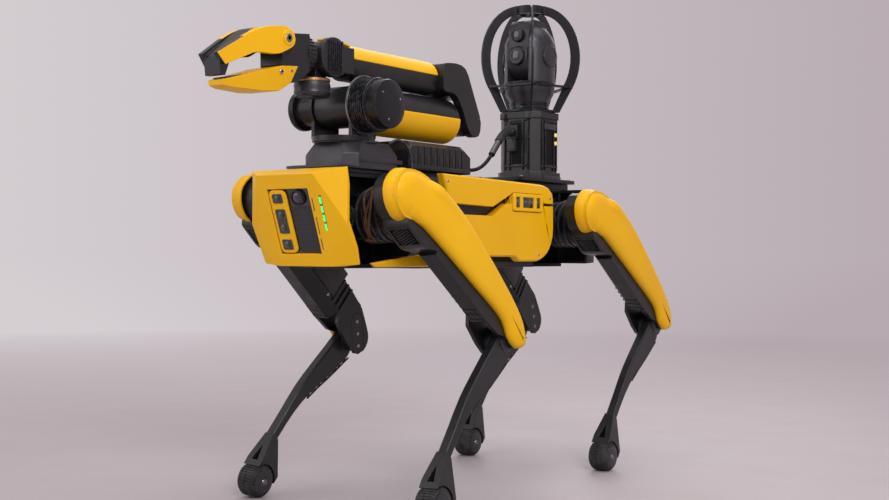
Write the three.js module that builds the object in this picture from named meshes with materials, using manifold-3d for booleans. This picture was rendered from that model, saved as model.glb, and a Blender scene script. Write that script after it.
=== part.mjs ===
// Four-legged walking robot with a stowed six-axis arm and a caged pan-tilt camera on its back.
// Millimetres, +Z up, +X forwards, +Y to the robot's left. The floor is z = 0 and the body's
// hip axes lie at BODY_Z. Each leg is a chain hip roll -> hip pitch -> knee, as nested groups.
import * as THREE from 'three';
import { ConvexGeometry } from 'three/addons/geometries/ConvexGeometry.js';
import { mergeVertices } from 'three/addons/utils/BufferGeometryUtils.js';
import Module from 'manifold-3d';

const wasm = await Module();
wasm.setup();

// ---- Driving dimensions ------------------------------------------------------------------
const BODY_Z = 498;              // hip axes above the floor
const HIP_X = 298;               // hip axes ahead of and behind the body's centre
const HIP_ROLL_Y = 55;           // roll axes beside the middle plane
const HIP_PITCH_OUT = 111;       // pitch motor's centre outwards from the roll axis
const KNEE = { x: 25, z: -320 }; // knee axis in the thigh's own frame
const SHANK = 336.5;             // knee axis to foot centre
const FOOT_R = 30;
const FOOT_W = 40;
const TREAD_HALF = 13;           // half width of the foot's full-radius band
const FOOT_SHIFT = 2;            // foot's middle inwards from the thigh's plane
const STANCE = {                 // rest angles in degrees: roll outwards, pitch backwards
  front_left: { roll: 3.5, pitch: 50.7 },
  front_right: { roll: 3.5, pitch: 48.8 },
  rear_left: { roll: 0, pitch: 53.8 },
  rear_right: { roll: 0, pitch: 52.8 },
};
const GAP = 0.3;                 // clearance between touching pieces
const BODY_HALF = 100;           // body core half width
const BODY_TOP = 74;
const BODY_BOTTOM = -66;
const CORE_X = 222;              // half length of the body core between the hip bays
const BULKHEAD_X = 346;          // outer bulkheads that close the hip bays
const ARM = {                    // arm axes at rest, from the hip axes' height
  x: 292, z: 188,                // shoulder
  reach: 338.5,                  // shoulder to elbow
  rise: 75,                      // elbow to forearm axis
  fore: 403,                     // elbow to wrist pitch
  jawX: 117.5, jawZ: 14.8,       // jaw pivot from the wrist
};
const ELBOW_X = ARM.x - ARM.reach;
const FORE_Z = ARM.z + ARM.rise;
const WRIST_X = ELBOW_X + ARM.fore;
const MAST_X = -300;             // pan axis of the camera payload
const TILT_Z = 347;              // tilt axis above the hip axes

const DEG = Math.PI / 180;
const CURVE_STEPS = 2;           // straight steps in each rounded corner
const ROUND = 20;                // sides of a round piece

// ---- Materials ----------------------------------------------------------------------------
const paint = (color, roughness, metalness) =>
  new THREE.MeshStandardMaterial({ color, roughness, metalness });
const YELLOW = paint(0xf2b211, 0.42, 0.0);
const BLACK = paint(0x232325, 0.5, 0.0);
const METAL_BLACK = paint(0x1b1b1e, 0.38, 0.6);
const RUBBER = paint(0x17171a, 0.8, 0.0);
const GREY = paint(0x5d6066, 0.4, 0.8);
const GLASS = paint(0x0b0c10, 0.1, 0.0);
const GREEN = paint(0x58e05a, 0.3, 0.0);
const RED = paint(0xb3271e, 0.4, 0.0);

// ---- Solids -------------------------------------------------------------------------------
// A closed three.js geometry as a manifold solid.
function solid(geometry) {
  const g = geometry.index ? geometry : geometry.clone();
  g.deleteAttribute('normal');
  g.deleteAttribute('uv');
  const merged = mergeVertices(g, 1e-4);
  return new wasm.Manifold(new wasm.Mesh({
    numProp: 3,
    vertProperties: new Float32Array(merged.attributes.position.array),
    triVerts: new Uint32Array(merged.index.array),
  }));
}

// A manifold solid back as a flat-shaded three.js geometry.
function geometryOf(manifold) {
  const m = manifold.getMesh();
  const g = new THREE.BufferGeometry();
  g.setAttribute('position', new THREE.BufferAttribute(new Float32Array(m.vertProperties), 3));
  g.setIndex(new THREE.BufferAttribute(new Uint32Array(m.triVerts), 1));
  g.computeVertexNormals();
  return g;
}

function put(parent, name, manifold, material) {
  const mesh = new THREE.Mesh(geometryOf(manifold), material);
  mesh.name = name;
  parent.add(mesh);
  return mesh;
}

const join = (...parts) => parts.reduce((a, b) => a.add(b));
const cut = (body, ...tools) => tools.reduce((a, b) => a.subtract(b), body);

function box(x0, x1, y0, y1, z0, z1) {
  const g = new THREE.BoxGeometry(x1 - x0, y1 - y0, z1 - z0);
  return solid(g.translate((x0 + x1) / 2, (y0 + y1) / 2, (z0 + z1) / 2));
}

// A cylinder along one axis ('x', 'y' or 'z') from a to b, around the point c.
function rod(axis, r, a, b, c = [0, 0, 0], sides = ROUND) {
  const g = new THREE.CylinderGeometry(r, r, b - a, sides);
  g.translate(0, (a + b) / 2, 0);
  if (axis === 'x') g.rotateZ(-Math.PI / 2);
  if (axis === 'z') g.rotateX(Math.PI / 2);
  return solid(g.translate(...c));
}

// A turned part around +Y: profile is a list of [radius, y] that starts and ends on the axis.
function turned(profile, sides = ROUND) {
  return solid(new THREE.LatheGeometry(profile.map(([r, y]) => new THREE.Vector2(r, y)), sides));
}

// An outline with rounded corners. Points are [u, v] or [u, v, radius]. A rounding that a bevel of
// this size would turn inside out is left sharp.
function outline(points, radius = 0, bevel = 0) {
  const shape = new THREE.Shape();
  const n = points.length;
  points.forEach(([u, v, own], i) => {
    const r = own ?? radius;
    const [pu, pv] = points[(i + n - 1) % n];
    const [nu, nv] = points[(i + 1) % n];
    const back = Math.hypot(pu - u, pv - v);
    const ahead = Math.hypot(nu - u, nv - v);
    const fits = Math.min(r, back / 2.05, ahead / 2.05);
    const turnCos = ((u - pu) * (nu - u) + (v - pv) * (nv - v)) / (back * ahead);
    const tightest = fits * (1 + turnCos) / 2 / Math.sqrt(Math.max(1 - turnCos, 0.001) / 2);
    const d = tightest < Math.max(bevel * 1.3, 0.01) ? 0 : fits;
    const ax = u + (pu - u) / back * d;
    const ay = v + (pv - v) / back * d;
    if (i === 0) shape.moveTo(ax, ay); else shape.lineTo(ax, ay);
    if (d > 0) shape.quadraticCurveTo(u, v, u + (nu - u) / ahead * d, v + (nv - v) / ahead * d);
  });
  return shape;
}

// A smooth closed outline through the points.
function smoothOutline(points, count) {
  const curve = new THREE.CatmullRomCurve3(points.map(([u, v]) => new THREE.Vector3(u, v, 0)), true);
  return new THREE.Shape(curve.getPoints(count).slice(0, -1).map((p) => new THREE.Vector2(p.x, p.y)));
}

// An outline drawn in a side view (x forwards, z up), extruded across the robot from y0 to y1.
function sideSlab(points, y0, y1, radius = 0, bevel = 0) {
  return sideShape(outline(points, radius, bevel), y0, y1, bevel);
}

function sideShape(shape, y0, y1, bevel) {
  const g = new THREE.ExtrudeGeometry(shape, {
    depth: y1 - y0 - 2 * bevel, curveSegments: CURVE_STEPS,
    bevelEnabled: bevel > 0, bevelSize: bevel, bevelThickness: bevel, bevelSegments: 1,
    bevelOffset: -bevel,
  });
  g.translate(0, 0, -(y1 - y0) + bevel);
  g.rotateX(Math.PI / 2);
  return solid(g.translate(0, y0, 0));
}

// An outline drawn in plan (x forwards, y left), extruded up from z0 to z1.
function planSlab(points, z0, z1, radius = 0) {
  const g = new THREE.ExtrudeGeometry(outline(points, radius), {
    depth: z1 - z0, curveSegments: CURVE_STEPS, bevelEnabled: false,
  });
  return solid(g.translate(0, 0, z0));
}

const hull = (points) => solid(new ConvexGeometry(points.map((p) => new THREE.Vector3(...p))));

// The eight corners of a frustum between a rectangle at one x and another at a second x.
function frustumX(x0, y0, zLow0, zHigh0, x1, y1, zLow1, zHigh1) {
  return [[x0, -y0, zLow0], [x0, y0, zLow0], [x0, -y0, zHigh0], [x0, y0, zHigh0],
    [x1, -y1, zLow1], [x1, y1, zLow1], [x1, -y1, zHigh1], [x1, y1, zHigh1]];
}

const mirrorY = (manifold) => manifold.mirror([0, 1, 0]);

const robot = new THREE.Group();
const body = new THREE.Group();
body.position.z = BODY_Z;
robot.add(body);

// ---- Body ---------------------------------------------------------------------------------
function chassisFrame() {
  const core = [];
  for (const x of [-CORE_X, CORE_X]) {
    for (const s of [-1, 1]) {
      core.push([x, s * 84, BODY_TOP], [x, s * BODY_HALF, 54]);
      core.push([x, s * BODY_HALF, -50], [x, s * 86, BODY_BOTTOM]);
    }
  }
  let frame = hull(core);
  for (const s of [-1, 1]) {
    const near = s * (CORE_X - 2);
    const far = s * BULKHEAD_X;
    const [a, b] = near < far ? [near, far] : [far, near];
    const outer = [Math.min(far, far + s * 7), Math.max(far, far + s * 7)];
    frame = join(
      frame,
      box(a, b, -46, 46, 67, BODY_TOP),
      box(a, b, -52, 52, -86, -79),
      box(a, b, -10, 10, -82, 70),
      box(...outer, -46, 46, -86, BODY_TOP),
      box(s > 0 ? CORE_X - 30 : -CORE_X, s > 0 ? CORE_X : 30 - CORE_X, -52, 52, -86, -60),
    );
    for (const side of [-1, 1]) {   // bearing plates that carry the hip roll axes' outer ends
      frame = join(frame, rod('x', 20, outer[0], outer[1], [0, side * HIP_ROLL_Y, 0]));
    }
  }
  return frame;
}

function batteryPack() {
  return sideSlab([[-192, -86], [192, -86], [192, -66 - GAP], [-192, -66 - GAP]], -80, 80, 0, 0)
    .subtract(box(-300, 300, -200, 200, -66 - GAP, 0));
}

function sidePanel() {
  const upper = sideSlab([
    [163, 79, 4], [-172, 74, 14], [-205, 62, 16], [-207, -28, 22], [-186, -62, 22],
    [-150, -75, 12], [-84, -75, 4], [-70, -66, 4], [44, -66, 4], [62, -84, 4],
    [196, -84], [196, -66], [160, -44, 16], [138, 18, 20],
  ], BODY_HALF + GAP, 118, 0, 3);
  const tongue = hull([
    [120, 101, -84], [120, 118, -81], [120, 101, -50], [120, 118, -50], [196, 101, -60],
    [196, 116, -60], [236, 101, -71.5], [236, 114, -71.5], [342, 99, -77], [342, 104, -77],
    [330, 99, -84], [330, 104, -83],
  ]);
  const plate = join(upper, tongue);
  const grip = sideSlab([[128, 28], [8, 26], [-58, 54], [-58, 34], [-40, 33], [8, 9], [104, 9]],
    90, 130);
  const tail = box(-240, -164, 90, 130, 33, 38);
  const socket = sideSlab([[-56, 55], [-56, 19], [-163, 19], [-163, 55]], 108, 130, 6);
  const hipSweep = rod('x', 84, 205, 400, [0, HIP_ROLL_Y, 0], 32);
  return cut(plate, grip, tail, socket, hipSweep);
}

function sideSensor() {
  const bezel = sideSlab([[-57, 54], [-57, 20], [-162, 20], [-162, 54]], 108 + GAP, 121, 6, 1.5);
  const windows = [[-66, -80], [-90, -128], [-138, -152]].map(([a, b]) =>
    sideSlab([[b, 47], [a, 47], [a, 27], [b, 27]], 117.5, 125));
  return cut(bezel, ...windows);
}

// The face: a leaning front plane with two swept-back cheeks, hollow behind.
const FACE_FRONT = { top: [440, 61, 66], low: [388, 57, -83] };
function faceHull(shift, shrink) {
  const [tx, ty, tz] = FACE_FRONT.top;
  const [lx, ly, lz] = FACE_FRONT.low;
  const points = [];
  for (const s of [-1, 1]) {
    points.push([tx, s * ty, tz], [lx, s * ly, lz], [404, s * 105, 77], [404, s * 105, -14]);
    points.push([371, s * 105, -79], [358, s * 60, 77], [358, s * 60, -83]);
  }
  return hull(points.map(([x, y, z]) => [x - shift, y, z > 0 ? z - shrink : z + shrink]));
}

// A frame whose u axis is across the face, v up its lean, w out of the front plane.
function onFace(manifold) {
  const [tx, , tz] = FACE_FRONT.top;
  const [lx, , lz] = FACE_FRONT.low;
  const lean = Math.atan2(tx - lx, tz - lz) / DEG;
  return manifold.rotate([0, lean, 0]).translate([(tx + lx) / 2, 0, (tz + lz) / 2]);
}

function faceShell() {
  const pocket = onFace(box(-14, 20, -46, 44, -58, 54));
  const light = onFace(box(-20, 20, 63, 68, -16, 42));
  return cut(faceHull(0, 0), faceHull(6, 5), pocket, light);
}

function facePanel() {
  const plate = box(-13, -6, -45.7, 43.7, -57.7, 53.7);
  const lens = rod('x', 12, -7, -2, [0, 16, 38]);
  return onFace(join(plate, lens));
}

function faceBezel() {
  const bezel = box(-6 + GAP, 0, -44, -8, -56, 52);
  const windows = [[30, 46], [-22, 20], [-50, -32]].map(([a, b]) =>
    box(-3, 5, -37, -15, a, b));
  return onFace(cut(bezel, ...windows));
}

function statusLight() {
  const strip = box(-8, 4, 63.3, 67.7, -15.7, 41.7);
  return onFace(strip).intersect(faceHull(1, 0));
}

function rearCover() {
  const outer = hull([...frustumX(-356, 104, -80, 74, -398, 100, -78, 72),
    ...frustumX(-424, 82, -60, 50, -424, 82, -60, 50)]);
  const inner = hull([...frustumX(-350, 99, -75, 68, -396, 95, -73, 67),
    ...frustumX(-419, 77, -56, 46, -419, 77, -56, 46)]);
  const wells = [-30, 30].map((y) => rod('x', 11, -440, -400, [0, y, 22]));
  return cut(outer, inner, box(-360, -340, -120, 120, -90, 90), ...wells);
}

const button = (y) => join(
  rod('x', 8, -426, -412, [0, y, 22]),
  rod('x', 10.4, -424.5, -420, [0, y, 22]),
);

function topRail() {
  const bar = box(-388, 150, 26, 42, BODY_TOP + GAP, 86);
  return cut(bar, box(-400, 160, 31, 37, 80, 90));
}

put(body, 'chassis_frame', chassisFrame(), METAL_BLACK);
put(body, 'battery_pack', batteryPack(), BLACK);
put(body, 'face_shell', faceShell(), YELLOW);
put(body, 'face_panel', facePanel(), GLASS);
put(body, 'face_sensor_bezel', faceBezel(), YELLOW);
put(body, 'status_light', statusLight(), GREEN);
put(body, 'rear_cover', rearCover(), BLACK);
put(body, 'power_button', button(30), GREY);
put(body, 'lockout_button', button(-30), RED);
for (const [side, flip] of [['left', (m) => m], ['right', mirrorY]]) {
  put(body, `side_panel_${side}`, flip(sidePanel()), YELLOW);
  put(body, `side_sensor_${side}`, flip(sideSensor()), YELLOW);
  put(body, `top_rail_${side}`, flip(topRail()), METAL_BLACK);
}

// ---- Legs ---------------------------------------------------------------------------------
// Leg pieces are drawn for a left front leg: y is outwards. Right legs are mirrored.
function hipHousing(ahead) {
  const [a, b] = ahead > 0 ? [-72, 18] : [-18, 72];
  const drum = join(rod('x', 38, a, b), rod('x', 15, Math.min(a, -46), Math.max(b, 46)));
  const motor = rod('y', 44, 14, HIP_PITCH_OUT - 42, [0, 0, 0], 24);
  return join(drum, motor);
}

const THIGH_IN = -34;      // thigh body from its inner to its outer side wall
const THIGH_OUT = 18;
const TUBE_TOP = -60;
const TUBE_LOW = -240;
const LOBE = { x: 3, z: 46, r: 46 };   // round head of the thigh above the hip axis
function thighFrame() {
  const head = sideSlab([
    [50, 27, 6], [51, -32, 8], [26, -74, 10], [-44, -92, 10], [-58, -40, 20], [-50, 20, 14],
    [-28, 30], [-36, 47, 12], [-24, 75, 20], [3, 85, 20], [29, 75, 20], [42, 49, 12], [41, 32],
  ], THIGH_IN, THIGH_OUT);
  const section = [[43, -14], [43, THIGH_OUT], [-45, THIGH_OUT], [-45, -2], [-27, THIGH_IN],
    [24, THIGH_IN]];
  const tube = hull([TUBE_TOP, TUBE_LOW].flatMap((z) => section.map(([x, y]) => [x, y, z])));
  const inner = sideSlab([[24, -238], [43, -250], [52, -290], [54, -316], [44, -344, 12],
    [24, -350, 12], [4, -342, 12], [-8, -318, 12], [-22, -285], [-27, -238]], THIGH_IN, -26);
  const outer = sideSlab([[43, -238], [40, -280], [30, -302], [32, -336, 10], [18, -349, 10],
    [0, -346, 10], [-22, -312, 12], [-38, -260], [-45, -238]], 9, THIGH_OUT);
  const back = box(-27, -20, -30, 12, -284, -236);
  const hub = rod('y', 40, -41, THIGH_IN + 4);
  const vent = box(46, 90, -28, 12, -22, 18);
  const seat = capsule(-40, -28);
  return cut(join(head, tube, inner, outer, back, hub), vent, seat);
}

function capsule(y0, y1, grow = 0) {
  const [ax, az, bx, bz] = [6, -292, 36, -328];
  const r = 17 + grow;
  const mid = [(ax + bx) / 2, (az + bz) / 2];
  const half = Math.hypot(bx - ax, bz - az) / 2 + r;
  const tilt = Math.atan2(bz - az, bx - ax);
  const corners = [[-half, -r], [half, -r], [half, r], [-half, r]].map(([u, v]) => [
    mid[0] + u * Math.cos(tilt) - v * Math.sin(tilt),
    mid[1] + u * Math.sin(tilt) + v * Math.cos(tilt), r]);
  return sideSlab(corners, y0, y1);
}

// The yellow cover: a thin plate along the thigh whose domed head wraps around the lobe.
function thighCover() {
  const plate = sideShape(smoothOutline([
    [14, 91], [38, 75], [48, 49], [44, 28], [33, 8], [27, -40], [20, -160], [16, -262],
    [31, -304], [31, -334], [10, -349], [-16, -322], [-32, -270], [-48, -170], [-57, -80],
    [-55, -10], [-48, 41], [-22, 83],
  ], 42), THIGH_OUT + GAP, 31, 4);
  const at = [LOBE.x, 0, LOBE.z];
  const rim = rod('y', LOBE.r, -6, 24, at).subtract(rod('y', LOBE.r - 4, -20, THIGH_OUT + GAP, at))
    .subtract(box(-80, 80, -20, THIGH_OUT + GAP, -49, 36));
  return join(plate, rim);
}

function shank() {
  const blade = sideSlab([
    [24, 0, 8], [28, -50, 20], [33, -95, 30], [38, -150, 40], [34, -205, 30], [31, -275, 10],
    [15, -275, 4], [17, -195, 30], [8, -141, 30], [-14, -77, 30], [-26, -16, 12],
  ], -11, 8, 0, 2);
  const knuckle = rod('y', 26, -25, 8);
  const ankle = hull([[15, -12, -256], [15, 8, -256], [33, -12, -256], [33, 8, -256],
    [-26, -21, -308], [-26, 17, -308], [30, -21, -308], [30, 17, -308],
    [-27, -21, -324], [-27, 17, -324], [28, -21, -324], [28, 17, -324]]);
  const drum = rod('y', FOOT_R + GAP, -40, 40, [0, 0, -SHANK], 32);
  const window = hull([[-60, -9, -312], [-60, 5, -312], [60, -9, -312], [60, 5, -312],
    [-60, -3, -284], [-60, -1, -284], [60, -3, -284], [60, -1, -284]]);
  return cut(join(blade, knuckle, ankle), drum, window);
}

function foot() {
  const half = FOOT_W / 2;
  const profile = [[0, -half], [FOOT_R - 6, -half], [FOOT_R, -TREAD_HALF], [FOOT_R, TREAD_HALF],
    [FOOT_R - 6, half], [0, half]];
  return turned(profile, 28).translate([0, -FOOT_SHIFT, -SHANK]);
}

// Knee angle that rests the foot's lower tread edge on the floor for a hip roll and pitch.
function kneeAngle({ roll, pitch }) {
  const r = roll * DEG;
  const p = pitch * DEG;
  const hipHeight = BODY_Z + HIP_PITCH_OUT * Math.sin(r);
  const edge = (TREAD_HALF + FOOT_SHIFT) * Math.sin(r);
  const drop = (hipHeight - edge) / Math.cos(r) - FOOT_R;
  const thighDrop = KNEE.x * Math.sin(p) - KNEE.z * Math.cos(p);
  return -(pitch + Math.acos((drop - thighDrop) / SHANK) / DEG);
}

for (const [end, ahead] of [['front', 1], ['rear', -1]]) {
  for (const [side, out] of [['left', 1], ['right', -1]]) {
    const flip = out > 0 ? (m) => m : mirrorY;
    const tag = `${end}_${side}`;
    const stance = STANCE[tag];
    const hip = new THREE.Group();
    hip.position.set(ahead * HIP_X, out * HIP_ROLL_Y, 0);
    hip.rotation.x = out * stance.roll * DEG;
    const thigh = new THREE.Group();
    thigh.position.y = out * HIP_PITCH_OUT;
    thigh.rotation.y = stance.pitch * DEG;
    const knee = new THREE.Group();
    knee.position.set(KNEE.x, 0, KNEE.z);
    knee.rotation.y = kneeAngle(stance) * DEG;
    body.add(hip);
    hip.add(thigh);
    thigh.add(knee);
    put(hip, `hip_housing_${tag}`, flip(hipHousing(ahead)), METAL_BLACK);
    put(thigh, `thigh_frame_${tag}`, flip(thighFrame()), BLACK);
    put(thigh, `thigh_cover_${tag}`, flip(thighCover()), YELLOW);
    put(thigh, `knee_cover_${tag}`, flip(capsule(THIGH_IN, -28 - GAP, -GAP)), BLACK);
    put(knee, `shank_${tag}`, flip(shank()), BLACK);
    put(knee, `foot_${tag}`, flip(foot()), RUBBER);
  }
}

// ---- Arm ----------------------------------------------------------------------------------
const BASE_TOP = 127;
function armBase() {
  const plate = planSlab([[176, -62, 8], [378, -62, 20], [378, 62, 20], [176, 62, 8]], 80.5, 85);
  const points = [];
  for (const [z, x0, x1, y, c] of [[84, 200, 342, 60, 20], [106, 200, 342, 60, 20],
    [BASE_TOP, 212, 330, 52, 22]]) {
    for (const s of [-1, 1]) {
      points.push([x0 + c, s * y, z], [x1 - c, s * y, z], [x0, s * (y - c), z]);
      points.push([x1, s * (y - c), z]);
    }
  }
  const foot = box(200, 330, -44, 44, BODY_TOP + GAP, 82);
  return join(plate, hull(points), foot);
}

function armTurret() {
  const disc = rod('z', 54, BASE_TOP + GAP, 137, [ARM.x, 0, 0], 24);
  const cheeks = [-1, 1].map((s) => {
    const [a, b] = s > 0 ? [38, 45.5] : [-45.5, -38];
    return join(
      rod('y', 40, a, b, [ARM.x, 0, ARM.z]),
      box(ARM.x - 32, ARM.x + 32, a, b, 134, ARM.z),
    );
  });
  return join(disc, ...cheeks);
}

function shoulderMotorLeft() {
  const profile = [[0, 45.5 + GAP], [50, 45.5 + GAP], [50, 51], [45, 52], [45, 78], [41, 82],
    [41, 98], [37, 103], [0, 104]];
  return turned(profile, 24).translate([ARM.x, 0, ARM.z]);
}

function shoulderMotorRight() {
  const profile = [[0, -100], [31, -100], [36, -96], [36, -86], [29, -84], [28, -45.5 - GAP],
    [0, -45.5 - GAP]];
  return turned(profile, 24).translate([ARM.x, 0, ARM.z]);
}

const ARM_TUBE_R = 42;
function upperArm() {
  const barrel = rod('y', 36, -37.5, 37.5, [ARM.x, 0, ARM.z]);
  const neck = hull([...frustumX(ARM.x, 36, ARM.z - 30, ARM.z + 30, 232, 36, ARM.z - 24, ARM.z + 26)]);
  const tube = rod('x', ARM_TUBE_R, 8, 238, [0, 0, ARM.z], 24);
  const lower = box(4, 250, -60, 60, ARM.z - 60, ARM.z + 4);
  const core = rod('x', ARM_TUBE_R - 5, 8, 238, [0, 0, ARM.z], 24);
  const tongue = sideSlab([[20, ARM.z - 25], [20, ARM.z + 25], [ELBOW_X, ARM.z + 26, 20],
    [ELBOW_X - 26, ARM.z, 26], [ELBOW_X, ARM.z - 26, 20]], -25, 25);
  return join(cut(tube, lower), core, barrel, neck, tongue);
}

function upperArmCover() {
  const tube = rod('x', ARM_TUBE_R, 6, 226, [0, 0, ARM.z], 24);
  const core = rod('x', ARM_TUBE_R - 5 + GAP, 4, 240, [0, 0, ARM.z], 24);
  const upper = box(0, 250, -60, 60, ARM.z + 4 - GAP, ARM.z + 60);
  const aroundMotor = rod('y', 53, -120, 120, [ARM.x, 0, ARM.z], 36);
  return cut(tube, core, upper, aroundMotor);
}

// The elbow: two side cheeks around the upper arm's tongue, joined above by the forearm's root.
function elbowLink() {
  const shape = [[-64, 190, 18], [-56, 162, 16], [-36, 160, 14], [-20, 172, 12], [0, 212, 14],
    [20, 238, 14], [60, 238, 8], [60, 290, 8], [20, 295, 16], [-12, 290, 16]];
  const cheeks = sideSlab(shape, -42, 42);
  const clevis = box(-110, 120, -25.5, 25.5, 120, 234);
  return cut(cheeks, clevis);
}

const FORE_R = 31;
function forearmTube() {
  const tube = rod('x', FORE_R, 60 + GAP, 300, [0, 0, FORE_Z], 24);
  const upper = box(56, 306, -60, 60, FORE_Z + 4, FORE_Z + 60);
  const core = rod('x', FORE_R - 5, 60 + GAP, 309, [0, 0, FORE_Z], 24);
  const cheek = (a, b) => sideSlab([[300, FORE_Z - 22], [300, FORE_Z + 22],
    [WRIST_X, FORE_Z + 22, 20], [WRIST_X + 22, FORE_Z, 20], [WRIST_X, FORE_Z - 22, 20]], a, b);
  const drums = [[-36, -23], [23, 36]].map(([a, b]) => rod('y', 33, a, b, [WRIST_X, 0, FORE_Z]));
  return join(cut(tube, upper), core, cheek(-30, -23), cheek(23, 30), ...drums);
}

function forearmCover() {
  const tube = rod('x', FORE_R, 62, 300 - GAP, [0, 0, FORE_Z], 24);
  const core = rod('x', FORE_R - 5 + GAP, 50, 320, [0, 0, FORE_Z], 24);
  const lower = box(50, 310, -60, 60, FORE_Z - 60, FORE_Z + 4 + GAP);
  const strip = hull([[297, -18, 289], [297, 18, 289], [297, -18, 293], [297, 18, 293],
    [344, -16, 296.5], [344, 16, 296.5], [344, -16, 300], [344, 16, 300]]);
  return join(cut(tube, core, lower), strip);
}

// The wrist link turns between the forearm's end drums and carries a motor drum below.
function wristPitchLink() {
  const barrel = rod('y', 29, -22.5, 22.5, [WRIST_X, 0, FORE_Z]);
  const neck = rod('x', 22, WRIST_X, 396, [0, 0, FORE_Z]);
  const collar = rod('x', 30, 391, 396, [0, 0, FORE_Z], 24);
  const hanger = box(358, 384, -18, 18, 224, 250);
  const drum = rod('z', 29, 197, 228, [WRIST_X + 16, 0, 0]);
  return join(barrel, neck, collar, hanger, drum);
}

const JAW = [WRIST_X + ARM.jawX, FORE_Z + ARM.jawZ];   // jaw pivot
function palmBlock(grow) {
  const side = (x, y, z) => [[x, -y - grow, z], [x, y + grow, z]];
  return hull([...side(412, 30, 232 - grow), ...side(412, 30, 294), ...side(452, 26, 290),
    ...side(470 + grow, 24, 264), ...side(470 + grow, 24, 238), ...side(440, 28, 212 - grow)]);
}

function lowerLip(grow) {
  const side = (x, y, z) => [[x, -y - grow, z], [x, y + grow, z]];
  return hull([...side(448, 22, 236), ...side(448, 22, 214 - grow), ...side(560, 18, 211),
    ...side(584 + grow, 12, 206), ...side(584 + grow, 12, 199 - grow), ...side(560, 16, 199 - grow)]);
}

function gripperPalm() {
  const ring = rod('x', 33, 396 + GAP, 414, [0, 0, FORE_Z], 24);
  const pin = rod('y', 9, -28, 28, [JAW[0], 0, JAW[1]], 16);
  const ears = [[14, 24], [-24, -14]].map(([a, b]) => box(448, JAW[0] + 6, a, b, 262, JAW[1] + 6));
  return join(ring, palmBlock(0), lowerLip(0), pin, ...ears);
}

// The lower jaw's yellow trough, an outer shell below the black lip.
function lowerJaw() {
  const side = (x, y, z) => [[x, -y, z], [x, y, z]];
  const trough = hull([...side(450, 40, 236), ...side(484, 39, 233), ...side(504, 36, 222),
    ...side(573, 24, 206), ...side(592, 16, 201), ...side(590, 14, 193), ...side(573, 20, 191),
    ...side(514, 28, 191), ...side(483, 31, 194), ...side(460, 34, 209)]);
  return cut(trough, palmBlock(GAP), lowerLip(GAP));
}

// Side plates that taper in plan towards the tip, a black bridge between them and pivot bosses.
function upperJaw() {
  const plate = [[592, 223], [607, 240], [550, 276, 10], [521, 290, 10], [478, 297, 14],
    [458, 286, 12], [458, 268, 12], [492, 250, 8], [536, 249, 8]];
  const full = sideSlab(plate, -44, 44);
  const wedge = (a, b, c) => planSlab([[440, a], [474, b], [620, c], [620, -c], [474, -b],
    [440, -a]], 180, 320);
  const outer = full.intersect(wedge(42, 42, 19));
  const plates = cut(outer, wedge(31, 31, 9));
  const bridge = sideSlab([[596, 208], [600, 238, 4], [560, 266, 8], [526, 290, 8], [508, 290, 6],
    [520, 268, 8], [548, 250, 8], [578, 228], [586, 208]], -17, 17);
  const bosses = [[30, 43], [-43, -30]].map(([a, b]) =>
    rod('y', 12, a, b, [JAW[0], 0, JAW[1]], 12));
  return join(plates, bridge, ...bosses);
}

// The onboard computer: a finned case on the rails between the arm and the camera mast.
const CASE = { x0: 2, x1: 190, half: 62, low: 86 + GAP, top: 137, round: 20 };
function computerCase() {
  const { x0, x1, half, low, top, round } = CASE;
  const side = (x, y, z) => [[x, -y, z], [x, y, z]];
  const ends = [[x0, x0 + round], [x1, x1 - round / 2]];
  let shell = hull(ends.flatMap(([x, inner]) => [...side(x, half, low), ...side(x, half, top - round),
    ...side(inner, half, top - 8), ...side(inner, half - 10, top), ...side(x, half - 10, top - round + 6)]));
  for (let i = 0; i < 8; i += 1) {
    const x = x0 + 26 + 19 * i;
    for (const y of [-half, half]) {
      shell = cut(shell, box(x, x + 4, y - 3, y + 3, low + 8, top + 5));
    }
  }
  return shell;
}

put(body, 'arm_base', armBase(), BLACK);
put(body, 'computer_case', computerCase(), BLACK);
put(body, 'arm_turret', armTurret(), METAL_BLACK);
put(body, 'shoulder_motor_left', shoulderMotorLeft(), METAL_BLACK);
put(body, 'shoulder_motor_right', shoulderMotorRight(), METAL_BLACK);
put(body, 'upper_arm', upperArm(), BLACK);
put(body, 'upper_arm_cover', upperArmCover(), YELLOW);
put(body, 'elbow_link', elbowLink(), BLACK);
put(body, 'forearm_tube', forearmTube(), BLACK);
put(body, 'forearm_cover', forearmCover(), YELLOW);
put(body, 'wrist_pitch_link', wristPitchLink(), METAL_BLACK);
put(body, 'gripper_palm', gripperPalm(), BLACK);
put(body, 'lower_jaw_cover', lowerJaw(), YELLOW);
put(body, 'upper_jaw', upperJaw(), YELLOW);

// ---- Camera payload -----------------------------------------------------------------------
const RAIL_TOP = 86;
const TOWER_TOP = 232;
function payloadPlate() {
  return planSlab([[-388, -62, 10], [-180, -62, 10], [-180, 62, 10], [-388, 62, 10]],
    RAIL_TOP + GAP, 94);
}

function payloadTower() {
  const half = 48;
  const c = 16;
  const ring = [[-half + c, -half], [half - c, -half], [half, -half + c], [half, half - c],
    [half - c, half], [-half + c, half], [-half, half - c], [-half, -half + c]];
  const at = (k) => ring.map(([x, y]) => [MAST_X + x * k, y * k]);
  const foot = planSlab(at(1.12), 94 + GAP, 108);
  const trunk = planSlab(at(1), 106, TOWER_TOP - 12);
  const head = planSlab(at(1.06), TOWER_TOP - 14, TOWER_TOP);
  const port = box(MAST_X + 46, MAST_X + 56, -26, 6, 176, 204);
  return join(foot, trunk, head, port);
}

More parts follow.
